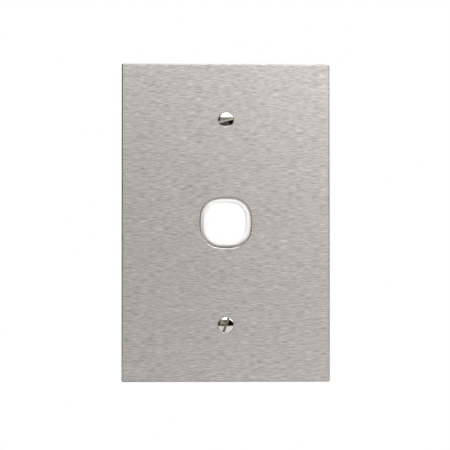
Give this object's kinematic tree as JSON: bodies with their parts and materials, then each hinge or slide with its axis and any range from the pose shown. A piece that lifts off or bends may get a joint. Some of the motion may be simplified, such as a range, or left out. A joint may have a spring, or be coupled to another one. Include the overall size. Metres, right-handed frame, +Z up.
{
  "type": "grid switch plate",
  "caption": "Flat brushed steel wall plate over a white moulded grid, with a rounded-square rocker opening and slotted mounting screws.",
  "frame": {"origin": "centre of the cover plate's back face, which lies on the wall plane", "axes": "+Z up, +Y into the wall, -Y towards the viewer, +X to the viewer's right"},
  "size_m": [0.0854, 0.041, 0.1304],
  "materials": {
    "brushed_steel": "brushed across the width",
    "white_plastic": "satin",
    "plated_steel": "bright plated"
  },
  "bodies": {
    "root": {"cover_plate": "brushed_steel", "mechanism_grid": "white_plastic", "mounting_screws": "plated_steel"}
  },
  "joints": []
}
